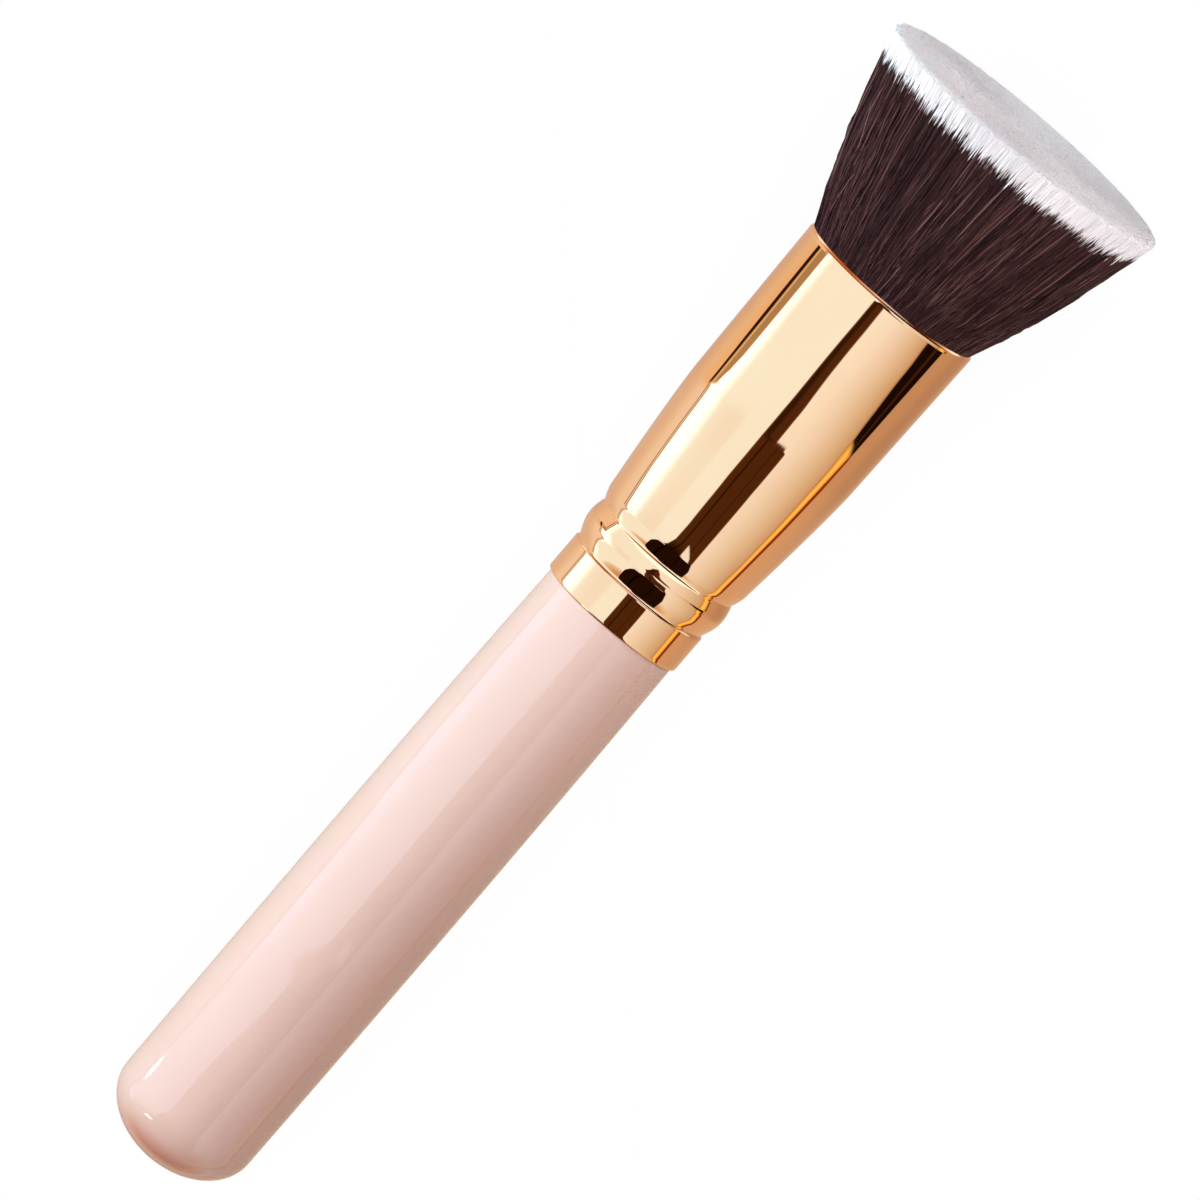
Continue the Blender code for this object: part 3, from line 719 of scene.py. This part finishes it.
def pinkLacquer():
    # opaque pink under a clear coat
    material, tree = newMaterial("pinkLacquer")
    place = brushCoords(tree)
    base = rampOf(tree, noiseOf(tree, place, 45, 4, 0.6), [
        (0.3, (0.668, 0.467, 0.401)), (0.7, (0.693, 0.488, 0.424))])
    # painted shade: the pink darkens toward the rounded end, where the handle turns away from the lights,
    # and very slightly over its lower half
    paintedEndShade = rampOf(tree, rescale(tree, partsOf(tree, place)[0], -0.078, -0.018, 0, 1), [
        (0.0, (0.92, 0.54, 0.49)), (0.03, (0.93, 0.56, 0.48)), (0.047, (0.95, 0.65, 0.57)),
        (0.074, (0.99, 0.94, 0.92)), (0.14, (0.985, 0.965, 0.96)), (0.45, (0.985, 0.965, 0.96)),
        (1.0, (1, 1, 1))])
    mainShader(tree, {
        "Coat Weight": 1.0, "Coat Roughness": 0.04, "Coat IOR": 1.5, "IOR": 1.45,
        "Specular IOR Level": 0.2, "Base Color": mixColours(tree, 1.0, base, paintedEndShade, blend_type="MULTIPLY"),
        "Roughness": rescale(tree, noiseOf(tree, place, 300, 3), 0.3, 0.7, 0.42, 0.5),
        "Normal": bumpFrom(tree, noiseOf(tree, place, 300, 1), 0.02, 0.0002)})
    return material


def dress(piece, material, node):
    piece.data.materials.clear()
    piece.data.materials.append(material)
    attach(piece, "root")
    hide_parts(node)


dress(handlePiece(), pinkLacquer(), "handle")
print("handle turned and lacquered")
dress(ferrulePiece(), roseGold(), "ferrule")
print("ferrule spun and plated")


tuftSizes = {
    "rootAt": 0.1298, "mouthAt": 0.1313, "stubAt": 0.15257, "faceAt": 0.15497,   # from the handle's end
    "rootRadius": 0.01108, "faceRadius": 0.0197, "widest": 0.01930, "splayBow": 0.755,
    "paleLength": 0.0031, "dyeSpread": 0.00072, "dyeClump": 0.0007,
    "clumpSize": 0.0006, "sway": 0.0003,
    "lockSway": 0.0005, "lockSize": 0.0009, "lockDepth": 0.020, "ownDepth": 0.026,
    "trimSpread": 0.000042, "faceRound": 0.00055,
    # the bristles' own map: where the dye line sits on it, what it spans, how many shades lie side by side
    "dyeMark": 0.85, "dyeSpan": 0.032, "strips": 256,
}

bristleHabits = {
    "rootTwist": 0.26, "clumpPull": (0.2, 1.0), "tipReach": (0.985, 1.0),
    "rimFrom": 0.94, "rimScale": 16.7,                      # share of the face where its rim starts to drop
    "dyeWave": 1.6, "dyeHigh": 1.7, "dyeLow": -1.5,
    "strayFrom": 0.985, "strayReach": 3.0,                  # the few that sway more than the rest
    "bendSpread": (0.5, 0.75),
    "swayLanes": 900.0, "swayWaves": 170.0, "swayReach": 4.0, "swayCalm": 1.15, "rootCalm": 500.0,
    "lockWaves": 110.0, "lockReach": 2.0, "lockCalm": 1.2, "lockScale": 2.4,
    "sinkFade": (0.6, 0.4), "sinkAtTip": 0.85, "skin": 0.00006,
    "tipFiner": 0.25, "tipPower": 6.0, "thicknessSpread": (0.4, 0.3),
    "cornerStep": 0.3333, "stripInset": (0.6, 0.3), "cornerLift": 0.004, "mapEdge": 0.002,
}

bristleInputs = {
    "Int": ("Count", "Seed", "Points"),
    "Float": ("Inner Share", "Outer Share", "Thickness", "Clump Pull", "Root At", "Mouth At", "Face At",
              "Root Radius", "Face Radius", "Widest", "Splay Bow", "Pale Length", "Dye Spread", "Dye Clump",
              "Clump Size", "Sway", "Lock Sway", "Lock Size", "Lock Depth", "Own Depth", "Trim Spread",
              "Face Round", "Dye Mark", "Dye Span"),
    "Material": ("Finish",),
}

bristleRows = [
    # name, how many, inner share, outer share, thickness, points, where they start, clump pull, seed
    ("outer_bristles_a", 3800, 0.97, 1.0, 0.00014, 8, "rootAt", 0.12, 11),
    ("outer_bristles_b", 3800, 0.95, 1.0, 0.00015, 8, "rootAt", 0.16, 12),
    ("outer_bristles_c", 3800, 0.91, 0.99, 0.00017, 8, "rootAt", 0.16, 13),
    ("inner_bristles", 3800, 0.82, 0.96, 0.00018, 8, "rootAt", 0.12, 14),
    ("face_bristles_a", 24000, 0.0, 0.99, 0.00019, 2, "stubAt", 0.02, 15),
    ("face_bristles_b", 24000, 0.0, 0.98, 0.00019, 2, "stubAt", 0.02, 16),
]


def bristleTree():
    tree = bpy.data.node_groups.new("bristleRows", "GeometryNodeTree")
    h = bristleHabits
    for kind, names in bristleInputs.items():
        for name in names:
            tree.interface.new_socket(name=name, in_out="INPUT", socket_type="NodeSocket" + kind)
    tree.interface.new_socket(name="Geometry", in_out="OUTPUT", socket_type="NodeSocketGeometry")
    given = put(tree, "NodeGroupInput").outputs

    def chance(number, low=0.0, high=1.0):
        # evenly spread random number of its own for each bristle
        seed = calc(tree, "MULTIPLY_ADD", given["Seed"], 31.0, float(number))
        node = put(tree, "FunctionNodeRandomValue", {2: low, 3: high, "Seed": seed}, data_type="FLOAT")
        return node.outputs[1]

    def keep(geometry, name, kind, value, domain="POINT"):
        node = put(tree, "GeometryNodeStoreNamedAttribute", {
            "Geometry": geometry, "Name": name, "Value": value}, data_type=kind, domain=domain)
        return node.outputs[0]

    def kept(name, kind="FLOAT"):
        node = put(tree, "GeometryNodeInputNamedAttribute", {"Name": name}, data_type=kind)
        return node.outputs["Attribute"]

    def flat(*values):
        return put(tree, "ShaderNodeCombineXYZ", dict(enumerate(values))).outputs[0]

    def blend(share, start, end):
        # start + (end - start) * share, for vectors
        node = put(tree, "ShaderNodeMix", {0: share, 4: start, 5: end}, data_type="VECTOR")
        return node.outputs[1]

    def scaled(vector, factor):
        node = put(tree, "ShaderNodeVectorMath", {0: vector, "Scale": factor}, operation="SCALE")
        return node.outputs[0]

    def held(vector, limit):
        # shortens a vector that is longer than the limit
        length = calc(tree, "MAXIMUM", vecCalc(tree, "LENGTH", vector), 1e-6)
        return scaled(vector, calc(tree, "MINIMUM", calc(tree, "DIVIDE", limit, length), 1.0))

    def cloud(vector, detail, dimensions="2D"):
        return put(tree, "ShaderNodeTexNoise", {
            "Scale": 1.0, "Detail": detail, "Vector": vector}, noise_dimensions=dimensions).outputs

    def centred(colour, reach):
        # a cloud's colour as a way to wander across the brush
        away = vecCalc(tree, "SUBTRACT", colour, (0.5, 0.5, 0.5))
        return vecCalc(tree, "MULTIPLY", away, (reach, reach, 0.0))

    def turned(angle, radius):
        toward = flat(calc(tree, "COSINE", angle), calc(tree, "SINE", angle))
        return scaled(toward, calc(tree, "MULTIPLY", reach, radius))

    # one point for each bristle, spread evenly over the ring between the two shares
    points = put(tree, "GeometryNodePoints", {"Count": given["Count"]}).outputs[0]
    innerSquare = calc(tree, "MULTIPLY", given["Inner Share"], given["Inner Share"])
    outerSquare = calc(tree, "MULTIPLY", given["Outer Share"], given["Outer Share"])
    spread = calc(tree, "SUBTRACT", outerSquare, innerSquare)
    reach = calc(tree, "SQRT", calc(tree, "MULTIPLY_ADD", chance(1), spread, innerSquare))
    turn = chance(2, 0, math.tau)
    rootTurn = calc(tree, "MULTIPLY_ADD", calc(tree, "POWER", chance(3, -1, 1), 3.0), h["rootTwist"], turn)
    tip = turned(turn, given["Face Radius"])
    root = turned(rootTurn, given["Root Radius"])

    # tips gather into small clumps
    onGrid = vecCalc(tree, "DIVIDE", tip, flat(given["Clump Size"], given["Clump Size"]))
    cells = put(tree, "ShaderNodeTexVoronoi", {"Scale": 1.0, "Vector": onGrid}, voronoi_dimensions="2D")
    gathered = scaled(cells.outputs["Position"], given["Clump Size"])
    pull = calc(tree, "MULTIPLY", chance(4, *h["clumpPull"]), given["Clump Pull"])
    rimHere = calc(tree, "MULTIPLY", given["Face Radius"], chance(5, *h["tipReach"]))
    tip = held(blend(pull, tip, gathered), rimHere)

    # trimmed end of each, lower at the rim
    rim = calc(tree, "MAXIMUM", calc(tree, "SUBTRACT", reach, h["rimFrom"]), 0.0)
    drop = calc(tree, "POWER", calc(tree, "MULTIPLY", rim, h["rimScale"]), 2.0)
    drop = calc(tree, "MULTIPLY", drop, given["Face Round"])
    cut = calc(tree, "MULTIPLY_ADD", chance(6), given["Trim Spread"], drop)
    end = calc(tree, "SUBTRACT", given["Face At"], cut)

    # uneven line where the dye stops
    dyeClump = flat(given["Dye Clump"], given["Dye Clump"])
    patches = cloud(vecCalc(tree, "DIVIDE", tip, dyeClump), 2.0)
    uneven = calc(tree, "MULTIPLY", calc(tree, "SUBTRACT", patches["Fac"], 0.5), h["dyeWave"])
    uneven = calc(tree, "MULTIPLY_ADD", calc(tree, "POWER", chance(7), 3.0), h["dyeHigh"], uneven)
    uneven = calc(tree, "MULTIPLY_ADD", calc(tree, "POWER", chance(8), 4.0), h["dyeLow"], uneven)
    dye = calc(tree, "SUBTRACT", calc(tree, "SUBTRACT", given["Face At"], given["Pale Length"]),
               calc(tree, "MULTIPLY", uneven, given["Dye Spread"]))

    stray = calc(tree, "GREATER_THAN", chance(10), h["strayFrom"])
    stray = calc(tree, "MULTIPLY_ADD", stray, h["strayReach"], 1.0)
    for name, kind, value in (
            ("tipAt", "FLOAT_VECTOR", tip), ("rootAt", "FLOAT_VECTOR", root), ("endAt", "FLOAT", end),
            ("dyeAt", "FLOAT", dye), ("luck", "FLOAT", chance(9)), ("stray", "FLOAT", stray)):
        points = keep(points, name, kind, value)

    # a straight bristle, set on every point and then bent to its own course
    blank = put(tree, "GeometryNodeCurvePrimitiveLine", {"End": (0, 0, 1)})
    divided = put(tree, "GeometryNodeResampleCurve", {"Curve": blank.outputs[0], "Count": given["Points"]})
    planted = put(tree, "GeometryNodeInstanceOnPoints", {"Points": points, "Instance": divided.outputs[0]})
    loose = put(tree, "GeometryNodeRealizeInstances", {0: planted.outputs[0]})

    # each is bent at heights of its own, so that no kink runs round the tuft
    luck = kept("luck")
    along = put(tree, "GeometryNodeSplineParameter").outputs["Factor"]
    along = calc(tree, "POWER", along, calc(tree, "MULTIPLY_ADD", luck, *h["bendSpread"]))
    rise = calc(tree, "SUBTRACT", kept("endAt"), given["Root At"])
    height = calc(tree, "MULTIPLY_ADD", along, rise, given["Root At"])
    free = calc(tree, "SUBTRACT", given["Face At"], given["Mouth At"])
    share = calc(tree, "DIVIDE", calc(tree, "SUBTRACT", height, given["Mouth At"]), free)
    share = calc(tree, "MINIMUM", calc(tree, "MAXIMUM", share, 0.0), 1.0)
    bowed = calc(tree, "POWER", share, given["Splay Bow"])
    course = blend(bowed, kept("rootAt", "FLOAT_VECTOR"), kept("tipAt", "FLOAT_VECTOR"))
    lane = calc(tree, "MULTIPLY", luck, h["swayLanes"])
    wobble = cloud(flat(lane, calc(tree, "MULTIPLY", height, h["swayWaves"])), 1.0)
    swayed = centred(wobble["Color"], h["swayReach"])
    sway = calc(tree, "MULTIPLY", calc(tree, "SUBTRACT", h["swayCalm"], share), kept("stray"))
    upFromRoot = calc(tree, "MULTIPLY", calc(tree, "SUBTRACT", height, given["Root At"]), h["rootCalm"])
    sway = calc(tree, "MULTIPLY", sway, calc(tree, "MINIMUM", upFromRoot, 1.0))
    course = vecCalc(tree, "ADD", course, scaled(swayed, calc(tree, "MULTIPLY", sway, given["Sway"])))

    # neighbours wander together as locks
    lockSize = flat(given["Lock Size"], given["Lock Size"])
    lockAt = partsOf(tree, vecCalc(tree, "DIVIDE", kept("tipAt", "FLOAT_VECTOR"), lockSize))
    locks = cloud(flat(lockAt[0], lockAt[1], calc(tree, "MULTIPLY", height, h["lockWaves"])), 0.0, "3D")
    together = calc(tree, "MULTIPLY", share, calc(tree, "SUBTRACT", h["lockCalm"], share))
    together = calc(tree, "MULTIPLY", together, h["lockScale"])
    wander = centred(locks["Color"], h["lockReach"])
    wander = scaled(wander, calc(tree, "MULTIPLY", together, given["Lock Sway"]))
    course = vecCalc(tree, "ADD", course, wander)

    # locks and single bristles sink in and come up again, and stay inside the tuft's outline
    byTip = calc(tree, "POWER", share, h["tipPower"])
    sink = calc(tree, "MULTIPLY", locks["Fac"], given["Lock Depth"])
    sink = calc(tree, "MULTIPLY_ADD", wobble["Fac"], given["Own Depth"], sink)
    fading = calc(tree, "MULTIPLY_ADD", share, *h["sinkFade"])
    fading = calc(tree, "SUBTRACT", fading, calc(tree, "MULTIPLY", byTip, h["sinkAtTip"]))
    course = scaled(course, calc(tree, "SUBTRACT", 1.0, calc(tree, "MULTIPLY", sink, fading)))
    opening = calc(tree, "SUBTRACT", given["Face Radius"], given["Root Radius"])
    outside = calc(tree, "MULTIPLY_ADD", bowed, opening, given["Root Radius"])
    outside = calc(tree, "ADD", outside, calc(tree, "MULTIPLY", share, h["skin"]))
    course = held(course, calc(tree, "MINIMUM", outside, given["Widest"]))
    course = vecCalc(tree, "ADD", course, flat(0.0, 0.0, height))
    bentTo = put(tree, "GeometryNodeSetPosition", {0: loose.outputs[0], "Position": course})

    # three-sided section, a little finer at the trimmed end
    section = put(tree, "GeometryNodeCurvePrimitiveCircle", {"Resolution": 3, "Radius": 1.0})
    order = put(tree, "GeometryNodeInputIndex").outputs[0]
    marked = keep(section.outputs[0], "corner", "FLOAT", calc(tree, "MULTIPLY", order, h["cornerStep"]))
    tapering = calc(tree, "SUBTRACT", 1.0, calc(tree, "MULTIPLY", byTip, h["tipFiner"]))
    own = calc(tree, "MULTIPLY_ADD", luck, *h["thicknessSpread"])
    own = calc(tree, "MULTIPLY", given["Thickness"], own)
    swept = put(tree, "GeometryNodeCurveToMesh", {
        "Curve": bentTo.outputs[0], "Profile Curve": marked,
        "Scale": calc(tree, "MULTIPLY", own, tapering), "Fill Caps": True})

    # the bristles' own map: across for each bristle's shade, up for its place from root to tip
    corner = kept("corner")
    strip = calc(tree, "FLOOR", calc(tree, "MULTIPLY", luck, tuftSizes["strips"] - 0.01))
    across = calc(tree, "ADD", strip, calc(tree, "MULTIPLY_ADD", corner, *h["stripInset"]))
    across = calc(tree, "DIVIDE", across, tuftSizes["strips"])
    where = partsOf(tree, put(tree, "GeometryNodeInputPosition").outputs[0])
    upward = calc(tree, "SUBTRACT", where[2], kept("dyeAt"))
    upward = calc(tree, "ADD", calc(tree, "DIVIDE", upward, given["Dye Span"]), given["Dye Mark"])
    upward = calc(tree, "ADD", upward, calc(tree, "MULTIPLY", corner, h["cornerLift"]))
    upward = calc(tree, "MINIMUM", calc(tree, "MAXIMUM", upward, h["mapEdge"]), 1 - h["mapEdge"])
    mapped = keep(swept.outputs[0], "OFBake", "FLOAT2", flat(across, upward), "CORNER")
    rounded = put(tree, "GeometryNodeSetShadeSmooth", {0: mapped})
    solid = put(tree, "GeometryNodeRealizeInstances", {0: rounded.outputs[0]})
    finished = put(tree, "GeometryNodeSetMaterial", {0: solid.outputs[0], "Material": given["Finish"]})
    put(tree, "NodeGroupOutput", {0: finished.outputs[0]})
    return tree


def bristleDye():
    # dark dyed bristles that are left pale at their tips
    material, tree = newMaterial("bristleDye")
    place = partsOf(tree, put(tree, "ShaderNodeUVMap", uv_map="OFBake").outputs[0])
    strip = calc(tree, "FLOOR", calc(tree, "MULTIPLY", place[0], tuftSizes["strips"]))
    own = put(tree, "ShaderNodeTexWhiteNoise", {"W": strip}, noise_dimensions="1D").outputs["Value"]
    brown = rampOf(tree, own, [
        (0.0, (0.010, 0.0036, 0.0040)), (0.5, (0.041, 0.0160, 0.0170)),
        (0.85, (0.078, 0.033, 0.032)), (1.0, (0.16, 0.080, 0.074))])
    pale = rampOf(tree, own, [(0.0, (0.79, 0.775, 0.803)), (1.0, (0.96, 0.95, 0.965))])
    dyeMark = tuftSizes["dyeMark"]
    undyed = rescale(tree, place[1], dyeMark - 0.006, dyeMark + 0.012, 0, 1)
    mainShader(tree, {
        "Roughness": 0.5, "IOR": 1.45, "Specular IOR Level": 0.2,
        "Base Color": mixColours(tree, undyed, brown, pale)})
    return material


def inputName(key):
    # "paleLength" goes into the input "Pale Length"
    return "".join(" " + letter if letter.isupper() else letter for letter in key).title()


def growBristles():
    tree = bristleTree()
    finish = bristleDye()
    names = {item.name: item.identifier for item in tree.interface.items_tree if item.in_out == "INPUT"}
    shared = {inputName(key): value for key, value in tuftSizes.items()}
    for name, count, inner, outer, thickness, points, start, pull, seed in bristleRows:
        bed = bpy.data.objects.new("bristleBed", bpy.data.meshes.new("bristleBed"))
        bpy.context.scene.collection.objects.link(bed)
        rows = bed.modifiers.new("bristleRows", "NODES")
        rows.node_group = tree
        own = {"Count": count, "Seed": seed, "Points": points, "Inner Share": inner, "Outer Share": outer,
               "Thickness": thickness, "Root At": tuftSizes[start], "Clump Pull": pull, "Finish": finish}
        for key, value in {**shared, **own}.items():
            if key in names:
                rows[names[key]] = value
        mesh = bpy.data.meshes.new_from_object(bed.evaluated_get(bpy.context.evaluated_depsgraph_get()))
        mesh.name = name
        bpy.data.objects.remove(bed)
        for extra in ("tipAt", "rootAt", "endAt", "dyeAt", "luck", "stray", "corner"):
            if extra in mesh.attributes:
                mesh.attributes.remove(mesh.attributes[extra])   # only the map is of use to the finish
        mesh.transform(layDown)
        restOnTable(mesh)
        piece = bpy.data.objects.new(name, mesh)
        bpy.context.scene.collection.objects.link(piece)
        dress(piece, finish, "bristle_tuft")
        print(name, len(mesh.polygons), "faces")


heartSizes = {"share": 0.90, "below": 0.0009, "steps": 24, "sides": 96, "topRings": (0.6, 0.3)}


def tuftHeart():
    # packed middle that the bristles hide, so that no light comes through
    s, heart = tuftSizes, heartSizes
    profile = [(0, s["rootAt"])]
    free = s["faceAt"] - s["mouthAt"]
    top = s["faceAt"] - heart["below"]
    for k in range(heart["steps"] + 1):
        height = s["rootAt"] + (top - s["rootAt"]) * k / heart["steps"]
        share = max(0, (height - s["mouthAt"]) / free)
        outside = s["rootRadius"] + (s["faceRadius"] - s["rootRadius"]) * share ** s["splayBow"]
        profile.append((outside * heart["share"], height))
    profile += [(s["faceRadius"] * ring, top) for ring in heart["topRings"]] + [(0, top)]
    piece = turnRound("tuft_heart", profile, heart["sides"])
    material, tree = newMaterial("packedBristle")
    grain = noiseOf(tree, brushCoords(tree, (120, 2600, 2600)), 1.0, 3)
    # painted shade: its brown and pale are darker than the bristles' own shades, so the gaps between
    # bristles look shaded
    brown = rampOf(tree, grain, [(0.3, (0.010, 0.004, 0.004)), (0.7, (0.030, 0.014, 0.014))])
    pale = rampOf(tree, grain, [(0.3, (0.55, 0.53, 0.56)), (0.7, (0.85, 0.83, 0.86))])
    dyeLine = s["faceAt"] - s["paleLength"] + laid["endX"]
    edge = calc(tree, "ADD", partsOf(tree, brushCoords(tree))[0], calc(tree, "MULTIPLY", grain, 0.0008))
    undyed = rescale(tree, edge, dyeLine, dyeLine + 0.0007, 0, 1)
    mainShader(tree, {
        "Roughness": 0.8, "Specular IOR Level": 0.1, "Base Color": mixColours(tree, undyed, brown, pale),
        "Normal": bumpFrom(tree, grain, 0.6, 0.0003)})
    dress(piece, material, "bristle_tuft")


tuftHeart()
growBristles()
print("tuft planted and trimmed")


def bindingThread():
    # waxed cotton thread, its twist as slanting ridges
    material, tree = newMaterial("bindingThread")
    fibres = noiseOf(tree, brushCoords(tree, (5200, 2100, 2100)), 1.0, 4, 0.6)
    twist = put(tree, "ShaderNodeTexWave", {
        "Vector": brushCoords(tree), "Scale": 900, "Distortion": 2.0},
        wave_type="BANDS", bands_direction="DIAGONAL")
    shade = calc(tree, "MULTIPLY_ADD", twist.outputs["Fac"], 0.5, calc(tree, "MULTIPLY", fibres, 0.5))
    colour = rampOf(tree, shade, [
        (0.15, (0.38, 0.33, 0.26)), (0.6, (0.63, 0.58, 0.49)), (0.9, (0.74, 0.70, 0.61))])
    mainShader(tree, {
        "Roughness": 0.75, "Specular IOR Level": 0.25, "Base Color": colour,
        "Normal": bumpFrom(tree, shade, 0.7, 0.00008)})
    return material


def castResin():
    # amber resin with a few drawn-out bubbles and a dull skin
    material, tree = newMaterial("castResin")
    cloudy = noiseOf(tree, brushCoords(tree), 160, 4, 0.55)
    bubbles = put(tree, "ShaderNodeTexVoronoi", {
        "Vector": brushCoords(tree, (900, 1500, 1500)), "Scale": 1.0})
    hollow = rescale(tree, bubbles.outputs["Distance"], 0.12, 0.22, 1, 0)
    colour = rampOf(tree, cloudy, [
        (0.25, (0.42, 0.29, 0.10)), (0.55, (0.58, 0.45, 0.22)), (0.8, (0.66, 0.55, 0.33))])
    mainShader(tree, {
        "IOR": 1.54, "Coat Weight": 0.4, "Coat Roughness": 0.15, "Base Color": colour,
        "Roughness": rescale(tree, cloudy, 0.3, 0.7, 0.25, 0.45),
        "Normal": bumpFrom(tree, calc(tree, "SUBTRACT", cloudy, hollow), 0.5, 0.0002)})
    return material


def setGlue():
    # cream wood glue, rubbery, with wood dust in it
    material, tree = newMaterial("setGlue")
    smear = noiseOf(tree, brushCoords(tree, (220, 520, 520)), 1.0, 4, 0.6)
    dust = noiseOf(tree, brushCoords(tree), 2600, 2, 0.7)
    shade = calc(tree, "MULTIPLY_ADD", smear, 0.7, calc(tree, "MULTIPLY", dust, 0.3))
    colour = rampOf(tree, shade, [
        (0.3, (0.55, 0.50, 0.39)), (0.5, (0.68, 0.65, 0.55)), (0.75, (0.76, 0.74, 0.66))])
    mainShader(tree, {
        "IOR": 1.46, "Specular IOR Level": 0.4, "Base Color": colour,
        "Roughness": rescale(tree, smear, 0.3, 0.7, 0.35, 0.6),
        "Normal": bumpFrom(tree, smear, 0.5, 0.0003)})
    return material


# pieces that the ferrule hides keep their own shape and get their own finish
hidden = {"tuft_binding": bindingThread(), "resin_plug": castResin(), "tenon_adhesive": setGlue()}
for node, material in hidden.items():
    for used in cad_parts[node].material_slots:
        used.material = material
print("thread, resin and glue coloured")
